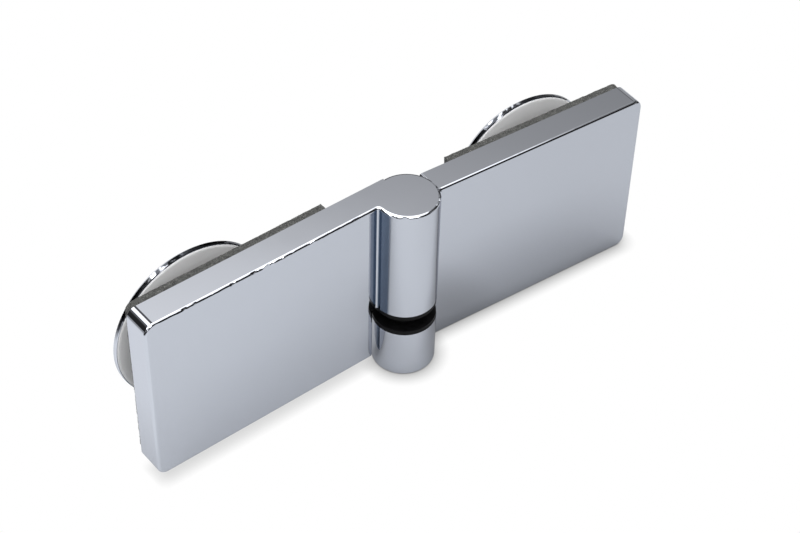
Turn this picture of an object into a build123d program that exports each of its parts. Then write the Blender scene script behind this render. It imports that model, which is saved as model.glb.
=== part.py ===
"""Lifting hinge that joins two glass panels of a shower enclosure.

Two polished metal leaves share one pin. The left leaf ends in the upper
knuckle, the right leaf in the lower one, and a pair of helical cams between
them raises the left leaf as it opens. Each leaf holds a glass panel between
its gasket and a round clamp disc.

The origin is on the pin's axis, level with the underside of the right leaf.
X runs away from the left leaf along its front, Y points to the glass side and
Z points up. The hinge is shown standing on a table, opened a little past flat.
"""

import os
from math import sqrt

from build123d import *

# Leaves
leaf_height = 56.0
leaf_reach = 83.0
leaf_thickness = 8.4
leaf_corner = 3.0
near_corner = 0.85
edge_round = 0.8

# Knuckles
knuckle_diameter = 18.3
lower_knuckle_height = 16.0
valley_round = 0.7
knuckle_gap = 1.3
bore_edge_gap = 0.5
sharp_back = 1.0
slab_end = 1.0

# Opening: the leaves close at a corner and are shown opened past flat
closed_angle = 90.0
past_flat_angle = 4.4
ramp_pitch = 16.0
ramp_starts = 2

# Glass clamp
glass_thickness = 8.0
gasket_thickness = 2.2
gasket_inner_end = 20.3
gasket_inset = 1.0
gasket_corner = 2.5
gasket_hole_clearance = 0.5
clamp_reach = 57.0
boss_diameter = 14.0
boss_length = 4.5
glass_hole = 20.0
bush_clearance = 0.1
bush_end_gap = 0.2
seal_thickness = 1.0
seal_diameter = 46.6
seal_edge_chamfer = 0.8
disc_diameter = 48.5
disc_rim = 1.3
disc_bevel = 1.5
disc_edge_chamfer = 0.2
right_disc_slack = 1.4
hub_length = 6.0
screw_diameter = 8.0
screw_length = 16.0
screw_head_diameter = 16.0
screw_socket = 5.0
screw_socket_depth = 3.0
screw_recess = 0.25
screw_seat_gap = 0.05
screw_clearance = 0.3
thread_clearance = 0.02
thread_spare = 1.2
thread_chamfer = 0.6

# Pin, cams and bearings
pin_diameter = 8.0
pin_flat_depth = 0.8
pin_flat_length = 16.0
pin_chamfer = 0.5
pin_groove_depth = 0.6
pin_groove_width = 3.0
pin_well_clearance = 0.1
cam_diameter = 14.0
upper_cam_depth = 12.0
flange_thickness = 1.4
flange_inset = 0.1
flange_clearance = 0.1
skirt_diameter = 11.8
skirt_clearance = 0.1
ramp_clearance = 0.05
ramp_backlash_angle = 2.0
ramp_depth = 0.6
ramp_bearing = 86.0
running_clearance = 0.03
press_clearance = 0.01
key_width = 3.0
key_height = 1.0
key_clearance = 0.05
key_length = 8.0
bush_diameter = 11.0
bush_grub_gap = 2.6
plug_thickness = 2.5
plug_chamfer = 0.4
floor_gap = 0.4
cap_thickness = 2.7

# Grub screws
grub_diameter = 4.0
pin_grub_length = 5.0
pin_grub_drop = 8.5
pin_grub_bearing = 55.0
cam_grub_length = 4.0
cam_grub_height = 9.0
cam_grub_bearing = 50.0
grub_socket = 2.0
grub_socket_depth = 1.5
dog_length = 1.0
dog_diameter = 2.4

# Worked out from the sizes above
knuckle_radius = knuckle_diameter / 2
cam_radius = cam_diameter / 2
pin_radius = pin_diameter / 2
leaf_front = knuckle_radius - leaf_thickness
leaf_back = knuckle_radius
near_end = knuckle_radius + knuckle_gap
glass_front = leaf_back + gasket_thickness
glass_back = glass_front + glass_thickness
disc_face = glass_back + seal_thickness
disc_back = disc_face + disc_rim + disc_bevel
opened = closed_angle + past_flat_angle
lift = ramp_pitch * opened / 360
flange_top = lower_knuckle_height + flange_thickness
upper_flange_low = flange_top + flange_clearance + lift
upper_knuckle_low = upper_flange_low + flange_thickness
left_foot = lift
upper_knuckle_top = left_foot + leaf_height
flange_radius = knuckle_radius - flange_inset
skirt_radius = skirt_diameter / 2
cup_radius = skirt_radius + skirt_clearance
ramp_rise = ramp_pitch / ramp_starts
ramp_sector = 360 / ramp_starts
ramp_top = flange_top - ramp_depth
ramp_foot = ramp_top - ramp_rise
pin_low = plug_thickness + floor_gap + lift
pin_top = upper_knuckle_top - cap_thickness - floor_gap
pin_grub_level = upper_knuckle_top - pin_grub_drop
bush_low = upper_knuckle_low + upper_cam_depth + bore_edge_gap
bush_top = pin_grub_level - grub_diameter / 2 - bush_grub_gap
pin_flat_line = pin_radius - pin_flat_depth
screw_tip = disc_back - screw_recess - screw_length
countersink_radius = screw_head_diameter / 2 + screw_recess + screw_seat_gap
countersink_depth = countersink_radius - screw_diameter / 2 - screw_clearance
skirt_low = ramp_foot + ramp_pitch * (opened + ramp_backlash_angle) / 360 + ramp_clearance
parts = []


def level(turn, height):
    """Flat plane at a height, turned about the pin's axis with its leaf."""
    return Plane.XY.offset(height).rotated((0, 0, turn))


def upright(turn, depth):
    """Vertical plane seen from the front, at a depth behind the pin's axis."""
    side = Plane.XY.rotated((0, 0, turn))
    return Plane(origin=side.y_dir * depth, x_dir=side.x_dir, z_dir=-side.y_dir)


def outward(turn, bearing, height, start):
    """Plane that faces away from the pin's axis, for a screw through a knuckle's wall."""
    away = Plane.XY.rotated((0, 0, turn + bearing)).x_dir
    return Plane(origin=away * start + Vector(0, 0, height), x_dir=(0, 0, 1), z_dir=away)


def spot(turn, x, depth, height):
    """Point given by its place along a leaf, behind the pin's axis and above the table."""
    return upright(turn, depth).from_local_coords((x, height, 0))


def keep(piece, name):
    """Label a finished piece and put it on the list to write."""
    piece.label = name
    parts.append(piece)


def knuckle_profile(hand):
    """Plan outline of a leaf in front of its sharp back, the hollow and the knuckle."""
    back_y = leaf_back - sharp_back
    back_x = sqrt(knuckle_radius**2 - back_y**2)
    hollow_y = leaf_front - valley_round
    hollow_x = sqrt((knuckle_radius + valley_round) ** 2 - hollow_y**2)
    to_knuckle = Vector(-hand * hollow_x, -hollow_y).normalized()
    to_middle = (to_knuckle + Vector(0, 1)).normalized()
    centre = Vector(hand * hollow_x, hollow_y)
    with BuildLine() as outline:
        back = Line((hand * leaf_reach, back_y), (hand * back_x, back_y))
        far_side = ThreePointArc(back @ 1, (-hand * knuckle_radius, 0), (0, -knuckle_radius))
        near_side = RadiusArc(far_side @ 1, centre + to_knuckle * valley_round, -hand * knuckle_radius)
        hollow = ThreePointArc(
            near_side @ 1,
            centre + to_middle * valley_round,
            centre + Vector(0, valley_round),
        )
        front = Line(hollow @ 1, (hand * leaf_reach, leaf_front))
        Line(front @ 1, back @ 0)
    return outline.line


def cast_leaf(hand, turn, foot, knuckle_low, knuckle_high):
    """Outside form of a leaf with its knuckle and threaded boss; hand is -1 on the left."""
    head = foot + leaf_height
    notch_low, notch_high = (foot, knuckle_low) if knuckle_low > foot else (knuckle_high, head)
    near_height = foot if knuckle_low > foot else head
    middle = hand * (near_end + leaf_reach) / 2
    half_depth = (leaf_front + leaf_back) / 2
    with BuildPart() as leaf:
        with BuildSketch(level(turn, foot)):
            with BuildLine():
                add(knuckle_profile(hand))
            make_face()
        extrude(amount=leaf_height)
        with BuildSketch(level(turn, notch_low)):
            with Locations((hand * (near_end - leaf_reach / 2), 0)):
                Rectangle(leaf_reach, 4 * knuckle_radius)
        extrude(amount=notch_high - notch_low, mode=Mode.SUBTRACT)

        outer_low = leaf.edges().sort_by_distance(spot(turn, hand * leaf_reach, half_depth, foot))[0]
        outer_high = leaf.edges().sort_by_distance(spot(turn, hand * leaf_reach, half_depth, head))[0]
        fillet([outer_low, outer_high], leaf_corner)
        near = leaf.edges().sort_by_distance(spot(turn, hand * near_end, half_depth, near_height))[0]
        fillet(near, near_corner)
        rim = leaf.edges().sort_by_distance(spot(turn, middle, leaf_front, near_height))[0]
        fillet(rim, edge_round)

        # The last layer at the back keeps sharp edges, where the gasket lies on it
        with BuildSketch(upright(turn, leaf_back)) as back:
            with Locations((middle, foot + leaf_height / 2)):
                Rectangle(leaf_reach - near_end, leaf_height)
            fillet(back.vertices().sort_by_distance((hand * near_end, near_height))[0], near_corner)
            outer = back.vertices().sort_by(Axis.X)
            fillet(outer[:2] if hand < 0 else outer[-2:], leaf_corner)
            with Locations((hand * (near_end + slab_end) / 2, (knuckle_low + knuckle_high) / 2)):
                Rectangle(near_end - slab_end, knuckle_high - knuckle_low)
        extrude(amount=sharp_back)

        with BuildSketch(upright(turn, leaf_back)):
            with Locations((hand * clamp_reach, foot + leaf_height / 2)):
                Circle(boss_diameter / 2)
        extrude(amount=-boss_length)
        with BuildSketch(upright(turn, leaf_back + boss_length)):
            with Locations((hand * clamp_reach, foot + leaf_height / 2)):
                Circle(screw_diameter / 2 + thread_clearance)
        extrude(amount=leaf_back + boss_length - screw_tip + thread_spare, mode=Mode.SUBTRACT)
    return leaf.part


# Left leaf: cast with the upper knuckle, which is closed on top and bored from below
with BuildPart() as left_leaf:
    add(cast_leaf(-1, 0, left_foot, upper_knuckle_low, upper_knuckle_top))
    with BuildSketch(level(0, upper_knuckle_low)):
        Circle(cam_radius + press_clearance)
    extrude(amount=bush_low - upper_knuckle_low, mode=Mode.SUBTRACT)
    with BuildSketch(level(0, upper_knuckle_low)):
        with Locations((0, cam_radius)):
            Rectangle(key_width + 2 * key_clearance, 2 * (key_height + key_clearance))
    extrude(amount=key_length + key_clearance, mode=Mode.SUBTRACT)
    with BuildSketch(level(0, upper_knuckle_low)):
        Circle(bush_diameter / 2 + press_clearance)
    extrude(amount=bush_top - upper_knuckle_low, mode=Mode.SUBTRACT)
    with BuildSketch(level(0, upper_knuckle_low)):
        Circle(pin_radius + pin_well_clearance)
    extrude(amount=pin_top + floor_gap - upper_knuckle_low, mode=Mode.SUBTRACT)
    with BuildSketch(outward(0, pin_grub_bearing, pin_grub_level, pin_radius / 2)):
        Circle(grub_diameter / 2 + thread_clearance)
    extrude(amount=knuckle_radius, mode=Mode.SUBTRACT)
keep(left_leaf.part, "left_leaf")

# Right leaf: cast with the lower knuckle, bored right through
with BuildPart() as right_leaf:
    add(cast_leaf(1, -past_flat_angle, 0, 0, lower_knuckle_height))
    with BuildSketch(level(-past_flat_angle, 0)):
        Circle(cam_radius + press_clearance)
    extrude(amount=lower_knuckle_height, mode=Mode.SUBTRACT)
    with BuildSketch(outward(-past_flat_angle, cam_grub_bearing, cam_grub_height, pin_radius)):
        Circle(grub_diameter / 2 + thread_clearance)
    extrude(amount=leaf_reach / 4, mode=Mode.SUBTRACT)
keep(right_leaf.part, "right_leaf")


def make_gasket(hand, turn, foot):
    """Sheet of fibre between a leaf and its glass, with a hole round the boss."""
    inner_end = gasket_inner_end
    outer_end = leaf_reach - gasket_inset
    low = foot + gasket_inset
    high = foot + leaf_height
    with BuildPart() as gasket:
        with BuildSketch(upright(turn, glass_front)) as sheet:
            with Locations((hand * (inner_end + outer_end) / 2, (low + high) / 2)):
                Rectangle(outer_end - inner_end, high - low)
            outer = sheet.vertices().sort_by(Axis.X)
            fillet(outer[:2] if hand < 0 else outer[-2:], gasket_corner)
            with Locations((hand * clamp_reach, foot + leaf_height / 2)):
                Circle(boss_diameter / 2 + gasket_hole_clearance, mode=Mode.SUBTRACT)
        extrude(amount=gasket_thickness)
    return gasket.part


def make_hole_bush(hand, turn, foot):
    """Plastic sleeve on the boss that keeps the metal off the edge of the glass hole."""
    with BuildPart() as bush:
        with BuildSketch(upright(turn, glass_front)):
            with Locations((hand * clamp_reach, foot + leaf_height / 2)):
                Circle(glass_hole / 2 - bush_clearance)
                Circle(boss_diameter / 2 + bush_clearance, mode=Mode.SUBTRACT)
        extrude(amount=bush_end_gap - glass_thickness)
    return bush.part


def make_seal(hand, turn, foot, slack):
    """Soft sheet on the face of the clamp disc, against the glass."""
    centre = (hand * clamp_reach, foot + leaf_height / 2)
    with BuildPart() as seal:
        with BuildSketch(upright(turn, glass_back + slack)):
            with Locations(centre):
                Circle(seal_diameter / 2)
                Circle(boss_diameter / 2 + bush_clearance, mode=Mode.SUBTRACT)
        extrude(amount=-seal_thickness)
        outer_rims = seal.edges().filter_by(GeomType.CIRCLE).sort_by(SortBy.RADIUS)[-2:]
        front = outer_rims.sort_by_distance(spot(turn, centre[0], glass_back + slack, centre[1]))[0]
        chamfer(front, seal_edge_chamfer)
    return seal.part


def make_clamp_disc(hand, turn, foot, slack):
    """Turned disc with a bevelled back and a hub that passes into the glass hole."""
    centre = (hand * clamp_reach, foot + leaf_height / 2)
    face = disc_face + slack
    back = disc_back + slack
    with BuildPart() as disc:
        with BuildSketch(upright(turn, back)):
            with Locations(centre):
                Circle(disc_diameter / 2)
        extrude(amount=disc_rim + disc_bevel)
        rims = disc.edges().filter_by(GeomType.CIRCLE)
        chamfer(rims.sort_by_distance(spot(turn, centre[0], back, centre[1]))[0], disc_bevel)
        rims = disc.edges().filter_by(GeomType.CIRCLE).sort_by(SortBy.RADIUS)[-2:]
        chamfer(rims.sort_by_distance(spot(turn, centre[0], face, centre[1]))[0], disc_edge_chamfer)
        with BuildSketch(upright(turn, face)):
            with Locations(centre):
                Circle(boss_diameter / 2)
        extrude(amount=hub_length)
        with BuildSketch(upright(turn, back)):
            with Locations(centre):
                Circle(screw_diameter / 2 + screw_clearance)
        extrude(amount=back - face + hub_length, mode=Mode.SUBTRACT)
        with BuildSketch(upright(turn, back)):
            with Locations(centre):
                Circle(countersink_radius)
        extrude(amount=countersink_depth, taper=45, mode=Mode.SUBTRACT)
    return disc.part


def make_clamp_screw(hand, turn, foot, slack):
    """Countersunk screw with a hexagon socket, from the disc into the leaf's boss."""
    centre = (hand * clamp_reach, foot + leaf_height / 2)
    head_top = disc_back + slack - screw_recess
    with BuildPart() as screw:
        with BuildSketch(upright(turn, head_top)):
            with Locations(centre):
                Circle(screw_head_diameter / 2)
        extrude(amount=(screw_head_diameter - screw_diameter) / 2 - thread_clearance, taper=45)
        with BuildSketch(upright(turn, head_top)):
            with Locations(centre):
                Circle(screw_diameter / 2)
        extrude(amount=screw_length)
        rims = screw.edges().filter_by(GeomType.CIRCLE)
        chamfer(rims.sort_by_distance(spot(turn, centre[0], screw_tip + slack, centre[1]))[0], thread_chamfer)
        with BuildSketch(upright(turn, head_top)):
            with Locations(centre):
                RegularPolygon(screw_socket / 2, 6, major_radius=False)
        extrude(amount=screw_socket_depth, mode=Mode.SUBTRACT)
    return screw.part


# Glass clamp of each leaf; the right one's screw is not driven home, so its disc stands off a little
for side, hand, turn, foot, slack in (
    ("left", -1, 0, left_foot, 0),
    ("right", 1, -past_flat_angle, 0, right_disc_slack),
):
    keep(make_gasket(hand, turn, foot), side + "_gasket")
    keep(make_hole_bush(hand, turn, foot), side + "_hole_bush")
    keep(make_seal(hand, turn, foot, slack), side + "_disc_seal")
    keep(make_clamp_disc(hand, turn, foot, slack), side + "_clamp_disc")
    keep(make_clamp_screw(hand, turn, foot, slack), side + "_clamp_screw")


def ramp_space(foot_height, bearing, wall_radius, reach):
    """Solid that lies on one helical ramp, above it or below it by the sign of reach."""
    start = level(bearing, foot_height)
    section = Plane(origin=start.origin, x_dir=start.x_dir, z_dir=-start.y_dir)
    inner_radius = pin_radius / 2
    outer_radius = wall_radius + inner_radius
    with BuildPart() as space:
        with BuildLine(start) as climb:
            Helix(pitch=ramp_pitch, height=ramp_rise, radius=(inner_radius + outer_radius) / 2)
        with BuildSketch(section):
            with Locations(((inner_radius + outer_radius) / 2, reach / 2)):
                Rectangle(outer_radius - inner_radius, abs(reach))
        sweep(path=climb.line, is_frenet=True)
        with BuildSketch(level(bearing, foot_height - abs(reach))):
            Circle(wall_radius)
        extrude(amount=ramp_rise + 2 * abs(reach), mode=Mode.INTERSECT)
    return space.part


# Lower cam: flanged cup with helical ramps on its floor, locked in the lower knuckle
with BuildPart() as lower_cam:
    with BuildSketch(level(-past_flat_angle, plug_thickness)):
        Circle(cam_radius)
    extrude(amount=flange_top - plug_thickness)
    with BuildSketch(level(-past_flat_angle, lower_knuckle_height)):
        Circle(flange_radius)
    extrude(amount=flange_thickness)
    with BuildSketch(level(-past_flat_angle, plug_thickness)):
        Circle(pin_radius + running_clearance)
        with Locations((0, -pin_radius - pin_flat_line - running_clearance)):
            Rectangle(pin_diameter, pin_diameter, mode=Mode.SUBTRACT)
    extrude(amount=flange_top - plug_thickness, mode=Mode.SUBTRACT)
    for start in range(ramp_starts):
        add(
            ramp_space(ramp_foot, ramp_bearing + start * ramp_sector, cup_radius, flange_top),
            mode=Mode.SUBTRACT,
        )
keep(lower_cam.part, "lower_cam")

# Upper cam: flanged sleeve keyed in the upper knuckle, its skirt ends in matching ramps
with BuildPart() as upper_cam:
    with BuildSketch(level(0, skirt_low)):
        Circle(skirt_radius)
    extrude(amount=upper_flange_low - skirt_low)
    with BuildSketch(level(0, upper_flange_low)):
        Circle(flange_radius)
    extrude(amount=flange_thickness)
    with BuildSketch(level(0, upper_knuckle_low)):
        Circle(cam_radius)
    extrude(amount=upper_cam_depth)
    with BuildSketch(level(0, upper_knuckle_low)):
        with Locations((0, cam_radius)):
            Rectangle(key_width, 2 * key_height)
    extrude(amount=key_length)
    with BuildSketch(level(0, skirt_low)):
        Circle(pin_radius + running_clearance)
    extrude(amount=upper_knuckle_low + upper_cam_depth - skirt_low, mode=Mode.SUBTRACT)
    for start in range(ramp_starts):
        bearing = ramp_bearing + opened + ramp_backlash_angle + start * ramp_sector
        add(ramp_space(skirt_low, bearing, cam_radius, -ramp_pitch), mode=Mode.SUBTRACT)
keep(upper_cam.part, "upper_cam")

# Hinge pin: turns in the upper knuckle, and a flat on its lower end slides in the lower cam
with BuildPart() as hinge_pin:
    with BuildSketch(level(0, pin_low)):
        Circle(pin_radius)
    extrude(amount=pin_top - pin_low)
    chamfer(hinge_pin.edges().filter_by(GeomType.CIRCLE), pin_chamfer)
    with BuildSketch(level(-past_flat_angle, pin_low)):
        with Locations((0, -pin_radius - pin_flat_line)):
            Rectangle(pin_diameter, pin_diameter)
    extrude(amount=pin_flat_length, mode=Mode.SUBTRACT)
    with BuildSketch(level(0, pin_grub_level - pin_groove_width / 2)):
        Circle(pin_diameter)
        Circle(pin_radius - pin_groove_depth, mode=Mode.SUBTRACT)
    extrude(amount=pin_groove_width, mode=Mode.SUBTRACT)
keep(hinge_pin.part, "hinge_pin")

# Bearing bush of the pin, above the upper cam
with BuildPart() as pin_bush:
    with BuildSketch(level(0, bush_low)):
        Circle(bush_diameter / 2)
        Circle(pin_radius + running_clearance, mode=Mode.SUBTRACT)
    extrude(amount=bush_top - bush_low)
keep(pin_bush.part, "pin_bush")

# Plug that closes the lower knuckle from below, level with its underside
with BuildPart() as bottom_plug:
    with BuildSketch(level(-past_flat_angle, 0)):
        Circle(cam_radius)
    extrude(amount=plug_thickness)
    chamfer(bottom_plug.edges().group_by(Axis.Z)[0], plug_chamfer)
keep(bottom_plug.part, "bottom_plug")


def make_grub_screw(face, length, dog_length, dog_radius):
    """Headless screw with a hexagon socket; its inner end is a dog of the given size."""
    with BuildPart() as grub:
        with BuildSketch(face):
            Circle(dog_radius)
        extrude(amount=dog_length)
        with BuildSketch(face.offset(dog_length)):
            Circle(grub_diameter / 2)
        extrude(amount=length - dog_length)
        with BuildSketch(face.offset(length)):
            RegularPolygon(grub_socket / 2, 6, major_radius=False)
        extrude(amount=-grub_socket_depth, mode=Mode.SUBTRACT)
    return grub.part


# Grub screws: one holds the pin in the upper knuckle, one locks the lower cam
groove_start = pin_radius - pin_groove_depth + running_clearance
groove_face = outward(0, pin_grub_bearing, pin_grub_level, groove_start)
keep(make_grub_screw(groove_face, pin_grub_length, dog_length, dog_diameter / 2), "pin_grub_screw")
cam_face = outward(-past_flat_angle, cam_grub_bearing, cam_grub_height, cam_radius + thread_clearance)
keep(make_grub_screw(cam_face, cam_grub_length, dog_length, dog_diameter / 2), "cam_grub_screw")

os.makedirs("parts", exist_ok=True)
for piece in parts:
    export_step(piece, f"parts/{piece.label}.step")
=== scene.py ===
"""Dresses the lifting glass hinge: mirror plate, fibre gaskets and a black plastic ring."""

import math

import bmesh
import bpy
from mathutils import Matrix, Vector, noise
from mathutils.geometry import tessellate_polygon


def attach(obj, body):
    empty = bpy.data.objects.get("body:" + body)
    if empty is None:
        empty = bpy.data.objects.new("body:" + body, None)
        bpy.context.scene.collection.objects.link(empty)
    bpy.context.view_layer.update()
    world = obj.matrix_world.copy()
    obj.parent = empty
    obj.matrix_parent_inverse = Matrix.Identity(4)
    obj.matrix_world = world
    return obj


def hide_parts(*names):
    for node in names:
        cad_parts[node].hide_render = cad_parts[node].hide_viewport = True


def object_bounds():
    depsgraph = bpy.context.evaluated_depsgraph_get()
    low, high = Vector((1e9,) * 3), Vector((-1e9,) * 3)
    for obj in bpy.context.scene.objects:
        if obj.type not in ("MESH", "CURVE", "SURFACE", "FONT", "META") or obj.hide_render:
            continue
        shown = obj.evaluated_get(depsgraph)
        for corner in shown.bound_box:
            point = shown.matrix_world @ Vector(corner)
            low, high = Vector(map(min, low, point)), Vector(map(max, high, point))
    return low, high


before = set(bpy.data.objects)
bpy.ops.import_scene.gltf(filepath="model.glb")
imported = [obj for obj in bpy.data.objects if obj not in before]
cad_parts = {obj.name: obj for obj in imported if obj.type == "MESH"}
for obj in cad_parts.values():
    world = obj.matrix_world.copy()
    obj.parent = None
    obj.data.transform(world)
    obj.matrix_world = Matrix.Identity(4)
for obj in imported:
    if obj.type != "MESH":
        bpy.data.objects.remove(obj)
cad_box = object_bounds()


# Left and right leaf: two brass castings, each with its half of the knuckle. They
# are ground and buffed by hand, which leaves the flats true and the rounded edges
# a little wavy, most of all on the left leaf, and then plated with bright chrome.
hands = {"left": -1, "right": 1}
leaf_degrees = {"left": 0.0, "right": -4.4}
bright_plate = (0.53, 0.55, 0.6)
painted_valley_shade = (0.17, 0.215, 0.285)


def node_in(tree, kind, **settings):
    """New node whose properties and input values are set by name."""
    node = tree.nodes.new(kind)
    for key, value in settings.items():
        if hasattr(node, key):
            setattr(node, key, value)
        else:
            node.inputs[key.replace("_", " ")].default_value = value
    return node


def connect(tree, value, socket):
    """Give a socket a plain value, or link it to the output of another node."""
    if isinstance(value, bpy.types.NodeSocket):
        tree.links.new(value, socket)
    else:
        socket.default_value = value


def maths(tree, operation, first, second=0.0):
    """Result of a math node on two values."""
    node = node_in(tree, "ShaderNodeMath", operation=operation)
    connect(tree, first, node.inputs[0])
    connect(tree, second, node.inputs[1])
    return node.outputs[0]


def product(tree, first, *others):
    """Values multiplied one after another."""
    for other in others:
        first = maths(tree, "MULTIPLY", first, other)
    return first


def vectors(tree, operation, first, second=None, factor=None):
    """Result of a vector math node on one vector, a vector and a factor, or two vectors."""
    node = node_in(tree, "ShaderNodeVectorMath", operation=operation)
    connect(tree, first, node.inputs[0])
    if second is not None:
        connect(tree, second, node.inputs[1])
    if factor is not None:
        connect(tree, factor, node.inputs["Scale"])
    return node.outputs["Value" if operation in ("DISTANCE", "DOT_PRODUCT") else "Vector"]


def axes_of(tree, vector):
    """The X, Y and Z of a vector."""
    node = node_in(tree, "ShaderNodeSeparateXYZ")
    tree.links.new(vector, node.inputs[0])
    return node.outputs


def fade(tree, value, start, end, low=0.0, high=1.0):
    """Smooth step of a value, from low at start to high at end."""
    node = node_in(tree, "ShaderNodeMapRange", interpolation_type="SMOOTHSTEP")
    for label, number in (("From Min", start), ("From Max", end), ("To Min", low), ("To Max", high)):
        connect(tree, number, node.inputs[label])
    tree.links.new(value, node.inputs["Value"])
    return node.outputs["Result"]


def between(tree, value, first_edge, second_edge):
    """One between two soft edges and nought outside, each edge from nought to one."""
    return maths(tree, "MULTIPLY", fade(tree, value, *first_edge), fade(tree, value, *second_edge))


def grain(tree, scale, detail=2.0, roughness=0.5):
    """Noise fixed to the object, fine or coarse by its scale."""
    place = node_in(tree, "ShaderNodeTexCoord")
    texture = node_in(tree, "ShaderNodeTexNoise", Scale=scale, Detail=detail, Roughness=roughness)
    tree.links.new(place.outputs["Object"], texture.inputs["Vector"])
    return texture


def sway(tree, fineness, size):
    """Push of a surface's normal to all sides, as strong as size."""
    wave = grain(tree, fineness, 2.0, 0.6).outputs["Color"]
    return vectors(tree, "SCALE", vectors(tree, "SUBTRACT", wave, (0.5, 0.5, 0.5)), factor=size)


def true_normal(tree):
    """Normal of the surface before any bump."""
    return node_in(tree, "ShaderNodeNewGeometry").outputs["Normal"]


def on_leaf(tree, turn, centre=(0.0, 0.0, 0.0)):
    """Place on a leaf that is turned, along its own directions and from a centre."""
    along_leaf = node_in(tree, "ShaderNodeMapping", vector_type="POINT")
    along_leaf.inputs["Rotation"].default_value = (0, 0, math.radians(-turn))
    along_leaf.inputs["Location"].default_value = -Vector(centre)
    tree.links.new(node_in(tree, "ShaderNodeTexCoord").outputs["Object"], along_leaf.inputs["Vector"])
    return along_leaf.outputs[0]


buffing = bpy.data.node_groups.new("hand_buffing", "ShaderNodeTree")
for label in ("Flat wave", "Edge ripple"):
    buffing.interface.new_socket(label, in_out="INPUT", socket_type="NodeSocketFloat")
buffing.interface.new_socket("Normal", in_out="OUTPUT", socket_type="NodeSocketVector")
buffing.interface.new_socket("Roughness", in_out="OUTPUT", socket_type="NodeSocketFloat")
group_in = buffing.nodes.new("NodeGroupInput")
group_out = buffing.nodes.new("NodeGroupOutput")
bent = true_normal(buffing)
facing = axes_of(buffing, bent)
top_edge = between(buffing, facing["Z"], (0.985, 0.9), (0.08, 0.25))
to_front = fade(buffing, facing["Y"], -0.05, -0.2)
patches = fade(buffing, grain(buffing, 190.0, 2.0, 0.6).outputs["Fac"], 0.48, 0.6, 0.1, 1.0)
edge_size = product(buffing, top_edge, to_front, patches, group_in.outputs["Edge ripple"])
for fineness, size in ((110.0, group_in.outputs["Flat wave"]), (420.0, edge_size)):
    bent = vectors(buffing, "ADD", bent, sway(buffing, fineness, size))
connect(buffing, vectors(buffing, "NORMALIZE", bent), group_out.inputs["Normal"])
haze = grain(buffing, 60.0, 4.0, 0.6).outputs["Fac"]
connect(buffing, fade(buffing, haze, 0.3, 0.7, 0.015, 0.045), group_out.inputs["Roughness"])


def new_material(name):
    """Material with an empty tree, its surface shader and the output."""
    material = bpy.data.materials.new(name)
    material.use_nodes = True
    tree = material.node_tree
    tree.nodes.clear()
    surface = tree.nodes.new("ShaderNodeBsdfPrincipled")
    output = tree.nodes.new("ShaderNodeOutputMaterial")
    tree.links.new(surface.outputs["BSDF"], output.inputs["Surface"])
    return material, tree, surface


def bump_from(tree, surface, height, strength, distance_mm):
    """Bump node between a height and the shader's normal."""
    bump = node_in(tree, "ShaderNodeBump", Strength=strength, Distance=distance_mm / 1000)
    tree.links.new(height, bump.inputs["Height"])
    tree.links.new(bump.outputs["Normal"], surface.inputs["Normal"])
    return bump


def two_tones(tree, factor, dark, light, start=0.3, end=0.7):
    """Colour that runs from dark to light with a factor."""
    ramp = node_in(tree, "ShaderNodeValToRGB")
    ramp.color_ramp.elements[0].position = start
    ramp.color_ramp.elements[0].color = (*dark, 1)
    ramp.color_ramp.elements[1].position = end
    ramp.color_ramp.elements[1].color = (*light, 1)
    tree.links.new(factor, ramp.inputs["Fac"])
    return ramp.outputs["Color"]


def plated_metal(name, flat_wave, edge_ripple):
    """Bright plate over metal that was buffed by hand."""
    material, tree, surface = new_material(name)
    surface.inputs["Base Color"].default_value = (*bright_plate, 1.0)
    surface.inputs["Specular Tint"].default_value = (0.84, 0.84, 0.86, 1.0)
    surface.inputs["Metallic"].default_value = 1.0
    buffed = tree.nodes.new("ShaderNodeGroup")
    buffed.node_tree = buffing
    buffed.inputs["Flat wave"].default_value = flat_wave
    buffed.inputs["Edge ripple"].default_value = edge_ripple
    tree.links.new(buffed.outputs["Roughness"], surface.inputs["Roughness"])
    tree.links.new(buffed.outputs["Normal"], surface.inputs["Normal"])
    return material, tree, surface, buffed


def leaf_plate(side, flat_wave, edge_ripple):
    """Plate with painted shade: a dark blue band in the valley by the knuckle, but for a stripe down its
    middle.

    On the right leaf, painted shade also darkens the rounded upper corner behind the knuckle, in place of
    its highlight. Places are metres out from the pin's axis, back from it and up from the table.
    """
    material, tree, surface, _ = plated_metal(side + "_leaf_chrome", flat_wave, edge_ripple)
    place = axes_of(tree, on_leaf(tree, leaf_degrees[side]))
    normal = axes_of(tree, true_normal(tree))
    out = maths(tree, "MULTIPLY", place["X"], hands[side])
    # Painted shade: the valley by the knuckle is darkened to a dark blue, but for a stripe down its
    # middle.
    valley = between(tree, out, (0.0083, 0.0087), (0.0109, 0.0104))
    unshaded_stripe = between(tree, out, (0.0092, 0.0094), (0.00985, 0.0097))
    front = fade(tree, place["Y"], 0.0045, 0.0025)
    upright = fade(tree, normal["Z"], 0.5, 0.1)
    painted_valley_mask = product(tree, maths(tree, "SUBTRACT", valley, unshaded_stripe), front, upright)
    plate = two_tones(tree, painted_valley_mask, bright_plate, painted_valley_shade, 0.0, 1.0)
    # Painted shade: the right leaf's rounded upper corner behind the knuckle is darkened, so that it
    # shows no highlight.
    if side == "right":
        near_end = fade(tree, out, 0.0122, 0.0119, 0.0, 0.7)
        near_top = fade(tree, place["Z"], 0.055, 0.0552)
        off_flat = fade(tree, normal["Z"], 0.99, 0.96)
        painted_corner_shade = product(tree, near_end, near_top, off_flat)
        plate = vectors(tree, "SCALE", plate, factor=maths(tree, "SUBTRACT", 1.0, painted_corner_shade))
    tree.links.new(plate, surface.inputs["Base Color"])
    return material


def finish_nodes(material, *nodes):
    """Give CAD nodes their finish."""
    for node in nodes:
        for material_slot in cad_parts[node].material_slots:
            material_slot.material = material


finish_nodes(leaf_plate("left", 0.004, 2.8), "left_leaf")
finish_nodes(leaf_plate("right", 0.002, 0.05), "right_leaf")
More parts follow.
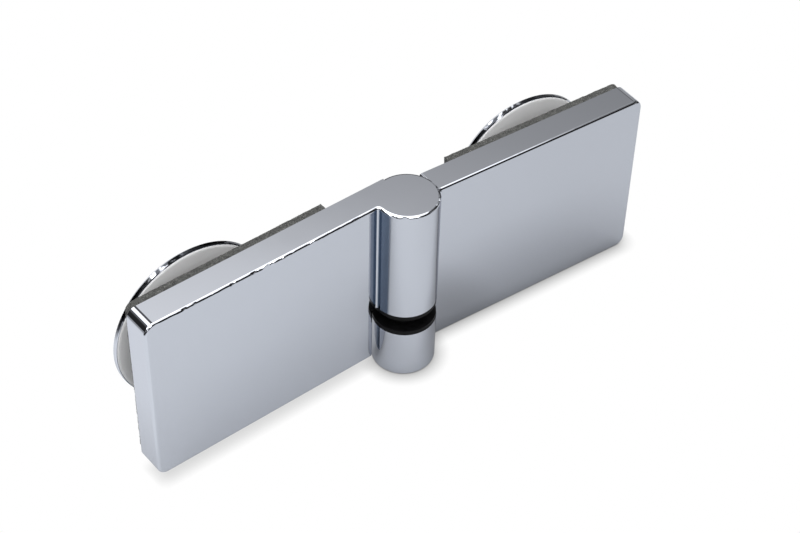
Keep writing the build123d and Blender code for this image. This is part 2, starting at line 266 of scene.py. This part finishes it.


# Clamp discs and bottom plug: turned from brass bar and plated like the leaves. The
# lathe tool left fine rings on the faces and chatter on the rims. A painted dark reflection
# covers the upward part of each rim, but for patches along one band facing left.
clamp_reach = 0.057
clamp_heights = {"left": 0.0322, "right": 0.028}
ring_spacing = 0.00025
painted_rim_reflection = (0.045, 0.048, 0.055)


def turned_plate(name, centre, turn):
    """Plate over the marks of the lathe, rings on the face and chatter on the rim, with a painted dark
    reflection on the rim's upper part.
    """
    material, tree, surface, buffed = plated_metal(name, 0.002, 0.0)
    in_face = vectors(tree, "MULTIPLY", on_leaf(tree, turn, centre), (1, 0, 1))
    from_axis = vectors(tree, "DISTANCE", in_face, (0, 0, 0))
    rings = maths(tree, "SINE", maths(tree, "MULTIPLY", from_axis, 2 * math.pi / ring_spacing))
    bump = bump_from(tree, surface, rings, 0.1, 0.003)
    tree.links.new(buffed.outputs["Normal"], bump.inputs["Normal"])
    normal = axes_of(tree, true_normal(tree))
    on_rim = fade(tree, maths(tree, "ABSOLUTE", normal["Y"]), 0.6, 0.4)
    chatter = sway(tree, 900.0, maths(tree, "MULTIPLY", on_rim, 0.275))
    marked = vectors(tree, "ADD", bump.outputs["Normal"], chatter)
    tree.links.new(vectors(tree, "NORMALIZE", marked), surface.inputs["Normal"])
    # Painted reflection: the upward part of the rim is darkened, but for patches along a band facing left
    # that keep the bright plate.
    bright_band = between(tree, normal["X"], (-0.6, -0.48), (-0.03, -0.13))
    patches = fade(tree, grain(tree, 330.0, 2.0, 0.6).outputs["Fac"], 0.44, 0.56)
    dark_reflection_share = maths(tree, "SUBTRACT", 1.0, maths(tree, "MULTIPLY", bright_band, patches))
    painted_rim_mask = product(tree, on_rim, fade(tree, normal["Z"], 0.2, 0.45), dark_reflection_share)
    tree.links.new(two_tones(tree, painted_rim_mask, bright_plate, painted_rim_reflection, 0.0, 1.0), surface.inputs["Base Color"])
    return material


for side, hand in hands.items():
    centre = (hand * clamp_reach, 0.0, clamp_heights[side])
    finish_nodes(turned_plate(side + "_disc_chrome", centre, leaf_degrees[side]), side + "_clamp_disc")
finish_nodes(turned_plate("plug_chrome", (0.0, 0.0, 0.0), 0.0), "bottom_plug")


# Gaskets: sheets of pressed fibre between leaf and glass, cut with a knife. The cut
# leaves ragged edges with light and dark fibres in them.
fibre, tree, surface = new_material("pressed_fibre")
flecks = grain(tree, 3400.0, 3.0, 0.75).outputs["Fac"]
clumps = grain(tree, 700.0, 2.0, 0.5).outputs["Fac"]
speckle = maths(tree, "ADD", maths(tree, "MULTIPLY", flecks, 0.75), maths(tree, "MULTIPLY", clumps, 0.25))
fleck_colour = two_tones(tree, speckle, (0.006, 0.006, 0.006), (0.1, 0.102, 0.098), 0.36, 0.66)
tree.links.new(fleck_colour, surface.inputs["Base Color"])
surface.inputs["Roughness"].default_value = 0.9
bump_from(tree, surface, flecks, 0.8, 0.2)


def leaf_spin(side):
    """Rotation that turns a leaf's own directions to where it stands."""
    return Matrix.Rotation(math.radians(leaf_degrees[side]), 3, "Z")


def leaf_box(side, node):
    """Box of a CAD node along the own directions of its leaf."""
    unturned = leaf_spin(side).inverted()
    corners = [unturned @ vertex.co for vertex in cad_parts[node].data.vertices]
    return (Vector([pick(c[axis] for c in corners) for axis in range(3)]) for pick in (min, max))


def in_place_of(node, side, points, faces, material):
    """Piece with outward faces that stands for a CAD node."""
    mesh = bpy.data.meshes.new(node + "_piece")
    mesh.from_pydata(points, [], faces)
    turned = bmesh.new()
    turned.from_mesh(mesh)
    bmesh.ops.recalc_face_normals(turned, faces=turned.faces)
    turned.to_mesh(mesh)
    turned.free()
    mesh.materials.append(material)
    piece = bpy.data.objects.new(node + "_piece", mesh)
    bpy.context.collection.objects.link(piece)
    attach(piece, side)
    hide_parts(node)
    return piece


def arc_points(centre, radius, start, sweep, steps):
    """Points of an arc in the plane of a leaf, without its two ends."""
    angles = (start + sweep * step / steps for step in range(1, steps))
    return [centre + Vector((math.cos(angle), 0, math.sin(angle))) * radius for angle in angles]


def divided(outline, hand, step):
    """Closed outline in short steps, each point with the direction into the sheet."""
    points = []
    for start, end in zip(outline, outline[1:] + outline[:1]):
        inward = (end - start).cross(Vector((0, hand, 0))).normalized()
        count = max(1, round((end - start).length / step))
        points += [(start.lerp(end, place / count), inward) for place in range(count)]
    return points


def cut_back(point, inward):
    """Point of a cut edge, drawn into the sheet by an uneven amount."""
    depth = 0.00010 + 0.00012 * noise.noise(point * 650) + 0.00009 * noise.noise(point * 2400)
    return point + inward * max(depth, 0)


def cut_sheet(side):
    """Sheet with ragged cut edges, inside the outline of its CAD node."""
    corner, hole_radius, half_leaf, layers = 0.0025, 0.0075, 0.028, 6
    corner_steps, hole_steps, cut_step = 8, 97, 0.0005
    hand, spin = hands[side], leaf_spin(side)
    low, high = leaf_box(side, side + "_gasket")
    inner, outer = (high.x, low.x) if hand < 0 else (low.x, high.x)
    bend = outer - hand * corner
    quarter = hand * math.pi / 2
    foot_turn = -math.pi / 2
    head_turn = 0.0 if hand > 0 else math.pi
    outline = [Vector((inner, 0, low.z)), Vector((bend, 0, low.z))]
    outline += arc_points(Vector((bend, 0, low.z + corner)), corner, foot_turn, quarter, corner_steps)
    outline += [Vector((outer, 0, low.z + corner)), Vector((outer, 0, high.z - corner))]
    outline += arc_points(Vector((bend, 0, high.z - corner)), corner, head_turn, quarter, corner_steps)
    outline += [Vector((bend, 0, high.z)), Vector((inner, 0, high.z))]
    middle = Vector((hand * clamp_reach, 0, high.z - half_leaf))
    hole = arc_points(middle, hole_radius, 0.0, -hand * 2 * math.pi, hole_steps)
    points, faces = [], []
    flat_numbers, flat_loops = {0: [], layers - 1: []}, {0: [], layers - 1: []}
    for edge in (divided(outline, hand, cut_step), divided(hole, hand, cut_step)):
        for layer in range(layers):
            depth = Vector((0, low.y + (high.y - low.y) * layer / (layers - 1), 0))
            first = len(points)
            points += [cut_back(point + depth, inward) for point, inward in edge]
            if layer in flat_loops:
                flat_numbers[layer] += range(first, len(points))
                flat_loops[layer].append([Vector((point.x, point.z, 0)) for point in points[first:]])
            if layer:
                for place in range(len(edge)):
                    here, after = first + place, first + (place + 1) % len(edge)
                    faces.append((here, after, after - len(edge), here - len(edge)))
    for layer, loops in flat_loops.items():
        numbers = flat_numbers[layer]
        faces += [tuple(numbers[i] for i in triangle) for triangle in tessellate_polygon(loops)]
    return in_place_of(side + "_gasket", side, [spin @ point for point in points], faces, fibre)


gasket_sheets = {side: cut_sheet(side) for side in hands}


# Loose fibres on the gaskets' cut edges: short ends of glass and mineral fibre that
# the knife has torn out of the sheet. They lie flat along the cut.
hair, tree, surface = new_material("loose_fibre")
surface.inputs["Roughness"].default_value = 0.8
each_hair = node_in(tree, "ShaderNodeNewGeometry").outputs["Random Per Island"]
hair_colour = two_tones(tree, each_hair, (0.012, 0.012, 0.011), (0.24, 0.24, 0.225), 0.1, 0.95)
tree.links.new(hair_colour, surface.inputs["Base Color"])

scatter = bpy.data.node_groups.new("torn_fibres", "GeometryNodeTree")
for label, kind in (
    ("Sheet", "NodeSocketGeometry"),
    ("Sheet axis", "NodeSocketVector"),
    ("Fibres per square metre", "NodeSocketFloat"),
    ("Length", "NodeSocketFloat"),
    ("Thickness", "NodeSocketFloat"),
    ("Seed", "NodeSocketInt"),
    ("Finish", "NodeSocketMaterial"),
):
    scatter.interface.new_socket(label, in_out="INPUT", socket_type=kind)
scatter.interface.new_socket("Fibres", in_out="OUTPUT", socket_type="NodeSocketGeometry")
given = scatter.nodes.new("NodeGroupInput").outputs
group_out = scatter.nodes.new("NodeGroupOutput")


def random_vector(least, most):
    """Random vector of each fibre, between two vectors."""
    node = node_in(scatter, "FunctionNodeRandomValue", data_type="FLOAT_VECTOR")
    node.inputs["Min"].default_value = least
    node.inputs["Max"].default_value = most
    connect(scatter, given["Seed"], node.inputs["Seed"])
    return node.outputs[0]


sheet_normal = node_in(scatter, "GeometryNodeInputNormal").outputs[0]
across = vectors(scatter, "DOT_PRODUCT", sheet_normal, given["Sheet axis"])
on_cut = maths(scatter, "LESS_THAN", maths(scatter, "ABSOLUTE", across), 0.5)
roots = node_in(scatter, "GeometryNodeDistributePointsOnFaces")
connect(scatter, given["Sheet"], roots.inputs["Mesh"])
connect(scatter, on_cut, roots.inputs["Selection"])
connect(scatter, given["Fibres per square metre"], roots.inputs["Density"])
connect(scatter, given["Seed"], roots.inputs["Seed"])
rod = node_in(scatter, "GeometryNodeMeshCylinder", fill_type="NONE", Vertices=4)
connect(scatter, maths(scatter, "MULTIPLY", given["Thickness"], 0.5), rod.inputs["Radius"])
connect(scatter, given["Length"], rod.inputs["Depth"])
least_tilt, most_tilt, full_turn = (math.radians(angle) for angle in (86, 94, 360))
lie = node_in(scatter, "FunctionNodeEulerToRotation")
connect(scatter, random_vector((least_tilt, 0, 0), (most_tilt, 0, full_turn)), lie.inputs[0])
laid = node_in(scatter, "FunctionNodeRotateRotation", rotation_space="LOCAL")
connect(scatter, roots.outputs["Rotation"], laid.inputs[0])
connect(scatter, lie.outputs[0], laid.inputs[1])
copies = node_in(scatter, "GeometryNodeInstanceOnPoints")
connect(scatter, roots.outputs["Points"], copies.inputs["Points"])
connect(scatter, rod.outputs["Mesh"], copies.inputs["Instance"])
connect(scatter, laid.outputs[0], copies.inputs["Rotation"])
connect(scatter, random_vector((0.5, 0.5, 0.3), (1.2, 1.2, 1.5)), copies.inputs["Scale"])
real = node_in(scatter, "GeometryNodeRealizeInstances")
connect(scatter, copies.outputs[0], real.inputs[0])
coloured = node_in(scatter, "GeometryNodeSetMaterial")
connect(scatter, real.outputs[0], coloured.inputs["Geometry"])
connect(scatter, given["Finish"], coloured.inputs["Material"])
connect(scatter, coloured.outputs[0], group_out.inputs[0])


def torn_fibres(side, seed):
    """Plain mesh of the loose fibres on one sheet, none outside the CAD model's box."""
    holder = bpy.data.objects.new(side + "_fibre_holder", gasket_sheets[side].data.copy())
    bpy.context.collection.objects.link(holder)
    modifier = holder.modifiers.new("fibres", "NODES")
    modifier.node_group = scatter
    values = {
        "Sheet axis": leaf_spin(side) @ Vector((0, 1, 0)),
        "Fibres per square metre": 5.0e6,
        "Length": 0.00055,
        "Thickness": 0.00006,
        "Seed": seed,
        "Finish": hair,
    }
    for item in scatter.interface.items_tree:
        if item.in_out == "INPUT" and item.name in values:
            modifier[item.identifier] = values[item.name]
    evaluated = holder.evaluated_get(bpy.context.evaluated_depsgraph_get())
    mesh = bpy.data.meshes.new_from_object(evaluated)
    bpy.data.objects.remove(holder)
    for vertex in mesh.vertices:
        vertex.co = [min(max(place, low), high) for place, low, high in zip(vertex.co, *cad_box)]
    fibres = bpy.data.objects.new(side + "_gasket_fibres", mesh)
    bpy.context.collection.objects.link(fibres)
    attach(fibres, side)


torn_fibres("left", 3)
torn_fibres("right", 8)


# Disc seals: pressed from soft, milky plastic sheet that covers the face of each
# clamp disc almost to its rim, where it thins down under the press.
def mottle(tree, surface, pattern, tones, roughness):
    """Colour and roughness that change together over a surface."""
    tree.links.new(two_tones(tree, pattern, *tones), surface.inputs["Base Color"])
    tree.links.new(fade(tree, pattern, 0.3, 0.7, *roughness), surface.inputs["Roughness"])


milky, tree, surface = new_material("milky_plastic")
flow = grain(tree, 90.0, 3.0, 0.5).outputs["Fac"]
mottle(tree, surface, flow, ((0.58, 0.58, 0.585), (0.64, 0.64, 0.645)), (0.45, 0.6))
surface.inputs["Specular IOR Level"].default_value = 0.3
bump_from(tree, surface, grain(tree, 700.0).outputs["Fac"], 0.1, 0.02)


def disc_seal(side):
    """Ring of sheet that thins towards its rim, turned about the clamp's axis."""
    inner, flat_to, outer, rim = 0.0071, 0.0185, 0.0239, 0.0001
    steps, thinning_steps = 160, 8
    spin = leaf_spin(side)
    low, high = leaf_box(side, side + "_disc_seal")
    middle = (low + high) / 2
    profile = [(inner, high.y), (inner, low.y)]
    for step in range(thinning_steps + 1):
        way = step / thinning_steps
        profile.append((flat_to + (outer - flat_to) * way, low.y + (high.y - low.y - rim) * way**2))
    profile.append((outer, high.y))
    points, faces = [], []
    for step in range(steps):
        angle = 2 * math.pi * step / steps
        for radius, depth in profile:
            x, z = middle.x + radius * math.cos(angle), middle.z + radius * math.sin(angle)
            points.append(spin @ Vector((x, depth, z)))
        here, after = step * len(profile), (step + 1) % steps * len(profile)
        for place in range(len(profile)):
            beyond = (place + 1) % len(profile)
            faces.append((here + place, here + beyond, after + beyond, after + place))
    seal = in_place_of(side + "_disc_seal", side, points, faces, milky)
    front = range(1, thinning_steps + 2)
    for face in seal.data.polygons:
        face.use_smooth = face.index % len(profile) in front


disc_seal("left")
disc_seal("right")


# Lower and upper cam: moulded in black acetal, satin and deep black, with the fine
# texture of the mould all over.
acetal, tree, surface = new_material("black_acetal")
moulding = grain(tree, 900.0, 3.0, 0.6).outputs["Fac"]
mottle(tree, surface, moulding, ((0.0015, 0.0015, 0.0015), (0.004, 0.004, 0.0045)), (0.4, 0.55))
surface.inputs["Specular IOR Level"].default_value = 0.1
bump_from(tree, surface, moulding, 0.3, 0.05)
finish_nodes(acetal, "lower_cam", "upper_cam")


# Hole bushes and pin bush: moulded in natural nylon, a milky white that lets a
# little light in.
nylon, tree, surface = new_material("natural_nylon")
surface.inputs["Subsurface Weight"].default_value = 0.2
surface.inputs["Subsurface Scale"].default_value = 0.001
cloud = grain(tree, 180.0).outputs["Fac"]
mottle(tree, surface, cloud, ((0.68, 0.67, 0.62), (0.78, 0.77, 0.73)), (0.4, 0.55))
finish_nodes(nylon, "left_hole_bush", "right_hole_bush", "pin_bush")


# Hinge pin, clamp screws and grub screws: stainless steel, ground or rolled, with
# fine marks left by the machine.
stainless, tree, surface = new_material("stainless_steel")
surface.inputs["Metallic"].default_value = 1.0
grind = grain(tree, 1500.0).outputs["Fac"]
mottle(tree, surface, grind, ((0.48, 0.48, 0.49), (0.55, 0.55, 0.55)), (0.22, 0.38))
bump_from(tree, surface, grind, 0.12, 0.01)
finish_nodes(stainless, "hinge_pin", "pin_grub_screw", "cam_grub_screw")
finish_nodes(stainless, "left_clamp_screw", "right_clamp_screw")


# Table: a white board under the hinge. The camera sees it as a white ground with a
# thin painted shadow where it meets the hinge, and the metal mirrors it as the studio lights it, over
# painted shade in the board's colour.
board_reach = 0.55
knuckle_foot = (0.018, -0.008, 0.0)
mirrored_white = 0.2
corners = [(x * board_reach, y * board_reach, 0) for x, y in ((-1, -1), (1, -1), (1, 1), (-1, 1))]
floor_mesh = bpy.data.meshes.new("table_board")
floor_mesh.from_pydata(corners, [], [(0, 1, 2, 3)])
floor = bpy.data.objects.new("table_board", floor_mesh)
bpy.context.collection.objects.link(floor)
board, tree, surface = new_material("white_board")
surface.inputs["Roughness"].default_value = 0.8
surface.inputs["Specular IOR Level"].default_value = 0.0
on_board = node_in(tree, "ShaderNodeTexCoord").outputs["Object"]
sideways = axes_of(tree, on_board)["X"]
wide_shadow = node_in(tree, "ShaderNodeAmbientOcclusion", Distance=0.03)
painted_wide_shade = product(
    tree,
    maths(tree, "SUBTRACT", wide_shadow.outputs["AO"], 1.0),
    fade(tree, sideways, -0.01, 0.03, 0.35, 1.0),
)
# Painted shade and light: the board is lightest just left of the hinge, darker far out and at
# the knuckle's foot, and darker where ambient occlusion finds the hinge near, most of all on the right.
painted_board_shade = product(
    tree,
    fade(tree, sideways, -0.1, 0.13, 0.61, 0.495),
    maths(tree, "ADD", painted_wide_shade, 1.0),
    fade(tree, sideways, -0.26, -0.15, 0.25, 1.0),
    fade(tree, sideways, -0.1, -0.085, 1.14, 1.0),
    fade(tree, vectors(tree, "DISTANCE", on_board, knuckle_foot), 0.004, 0.025, 0.66, 1.0),
)
board_colour = two_tones(tree, painted_board_shade, (0, 0, 0), (0.975, 1.0, 1.025), 0.0, 1.0)
tree.links.new(board_colour, surface.inputs["Base Color"])
# Painted shadow: the white that the camera sees is darkened by ambient occlusion close to the hinge.
contact = node_in(tree, "ShaderNodeAmbientOcclusion", Distance=0.005)
white = node_in(tree, "ShaderNodeEmission", Strength=1.0)
tree.links.new(contact.outputs["Color"], white.inputs["Color"])
seen_by = node_in(tree, "ShaderNodeLightPath").outputs
to_metal = maths(tree, "MULTIPLY", seen_by["Is Glossy Ray"], mirrored_white)
blend = node_in(tree, "ShaderNodeMixShader")
output = next(n for n in tree.nodes if n.type == "OUTPUT_MATERIAL")
tree.links.new(maths(tree, "ADD", seen_by["Is Camera Ray"], to_metal), blend.inputs[0])
tree.links.new(surface.outputs["BSDF"], blend.inputs[1])
tree.links.new(white.outputs["Emission"], blend.inputs[2])
tree.links.new(blend.outputs[0], output.inputs["Surface"])
floor_mesh.materials.append(board)


# Studio: a wide panel overhead with a soft edge, a pale wall and a bright doorway
# behind the hinge, a window and a lamp on the camera's side, and four low side lights,
# in a room that is dark near the ground.
horizon = 0.05
panel_middle = (-0.5, 0.0, 0.0)
room_glow = 0.03
world = bpy.data.worlds.new("studio")
bpy.context.scene.world = world
world.use_nodes = True
tree = world.node_tree
tree.nodes.clear()
toward = node_in(tree, "ShaderNodeTexCoord").outputs["Generated"]
heading = axes_of(tree, toward)
rise = maths(tree, "MAXIMUM", heading["Z"], horizon)
across = maths(tree, "DIVIDE", heading["X"], rise)
along = maths(tree, "DIVIDE", heading["Y"], rise)
on_ceiling = node_in(tree, "ShaderNodeCombineXYZ")
tree.links.new(across, on_ceiling.inputs["X"])
tree.links.new(along, on_ceiling.inputs["Y"])
from_middle = vectors(tree, "DISTANCE", on_ceiling.outputs[0], panel_middle)
panel_shape = node_in(tree, "ShaderNodeValToRGB")
stops = panel_shape.color_ramp.elements
stops[0].position = 0.53
stops[0].color = (1, 1, 1, 1)
stops[1].position = 0.9
stops[1].color = (0, 0, 0, 1)
for position, share in (
    (0.575, 0.5), (0.62, 0.33), (0.6625, 0.286), (0.697, 0.231), (0.7205, 0.16),
    (0.751, 0.09), (0.7695, 0.07), (0.7995, 0.035), (0.8475, 0.004),
):
    stops.new(position).color = (share, share, share, 1)
tree.links.new(maths(tree, "MULTIPLY", from_middle, 0.5), panel_shape.inputs["Fac"])
# A flap dims the panel's right side towards the camera. Far back, a seam in the panel and
# its left corner stay nearly dark, wall and all.
panel_strength = product(
    tree, fade(tree, along, -0.8, 0.6, 2.2, 3.0), fade(tree, across, -1.0, 0.4, 1.25, 0.85)
)
near_edge = fade(tree, along, -0.85, -0.6)
flap = product(tree, fade(tree, across, 0.55, 0.66), fade(tree, along, 0.7, 0.5, 0.0, -0.8))
overhead = product(
    tree,
    panel_shape.outputs["Color"],
    panel_strength,
    near_edge,
    maths(tree, "ADD", flap, 1.0),
    maths(tree, "GREATER_THAN", heading["Z"], horizon),
)
wall = product(tree, fade(tree, heading["Z"], 0.42, 0.6, 0.0, 0.36), fade(tree, heading["Y"], -0.1, 0.3))
seam = between(tree, across, (0.02, 0.08), (0.36, 0.3))
corner_dark = maths(tree, "ADD", seam, fade(tree, across, -0.45, -0.55))
unlit = product(tree, corner_dark, fade(tree, along, 0.6, 0.75, 0.0, -0.95))
above = product(tree, maths(tree, "ADD", overhead, wall), maths(tree, "ADD", unlit, 1.0))
off_doorway = maths(tree, "ABSOLUTE", maths(tree, "SUBTRACT", heading["Y"], 0.535))
doorway = product(
    tree,
    fade(tree, off_doorway, 0.05, 0.03, 0.0, 0.5),
    fade(tree, heading["X"], 0.6, 0.68),
    fade(tree, heading["Z"], 0.5, 0.42),
)


def round_light(aim, start, end, strength):
    """Round light in one direction, with its soft edge as cosines of the angle from it."""
    return fade(tree, vectors(tree, "DOT_PRODUCT", toward, aim), start, end, 0.0, strength)


window = round_light((-0.63, -0.74, 0.235), 0.974, 0.9925, 2.2)
lamp = round_light((-0.15, -0.6, 0.786), 0.97, 0.985, 8.5)
light = maths(tree, "ADD", above, maths(tree, "ADD", window, lamp))
light = maths(tree, "ADD", light, doorway)
for aim in ((-0.966, 0.0, 0.26), (0.94, 0.0, 0.34), (0.0, -0.94, 0.34), (0.683, -0.683, 0.26)):
    light = maths(tree, "ADD", light, round_light(aim, 0.975, 0.99, 0.35))
light = maths(tree, "ADD", light, room_glow)
room = node_in(tree, "ShaderNodeBackground", Strength=1.0)
tree.links.new(light, room.inputs["Color"])
backdrop = node_in(tree, "ShaderNodeBackground", Color=(1, 1, 1, 1), Strength=1.0)
pick = node_in(tree, "ShaderNodeMixShader")
output = node_in(tree, "ShaderNodeOutputWorld")
tree.links.new(node_in(tree, "ShaderNodeLightPath").outputs["Is Camera Ray"], pick.inputs[0])
tree.links.new(room.outputs[0], pick.inputs[1])
tree.links.new(backdrop.outputs[0], pick.inputs[2])
tree.links.new(pick.outputs[0], output.inputs["Surface"])


# Camera: above the table in front of the left leaf, as in the photograph. Its place,
# directions and focal length in pixels were worked out from the hinge's edges there.
focal_pixels, photo_width = 1880.527, 800
lens = bpy.data.cameras.new("camera")
lens.sensor_width = 36.0
lens.lens = focal_pixels / photo_width * lens.sensor_width
lens.clip_start = 0.05
lens.clip_end = 20.0
camera = bpy.data.objects.new("camera", lens)
bpy.context.collection.objects.link(camera)
bpy.context.scene.camera = camera
right = Vector((0.777174, -0.628985, 0.019451))
down = Vector((-0.422864, -0.544883, -0.724078))
ahead = Vector((0.466033, 0.554509, -0.689444))
standpoint = Matrix.Translation((-0.243335, -0.287299, 0.392182))
camera.matrix_world = standpoint @ Matrix((right, -down, -ahead)).transposed().to_4x4()

bpy.context.scene.view_settings.view_transform = "Standard"
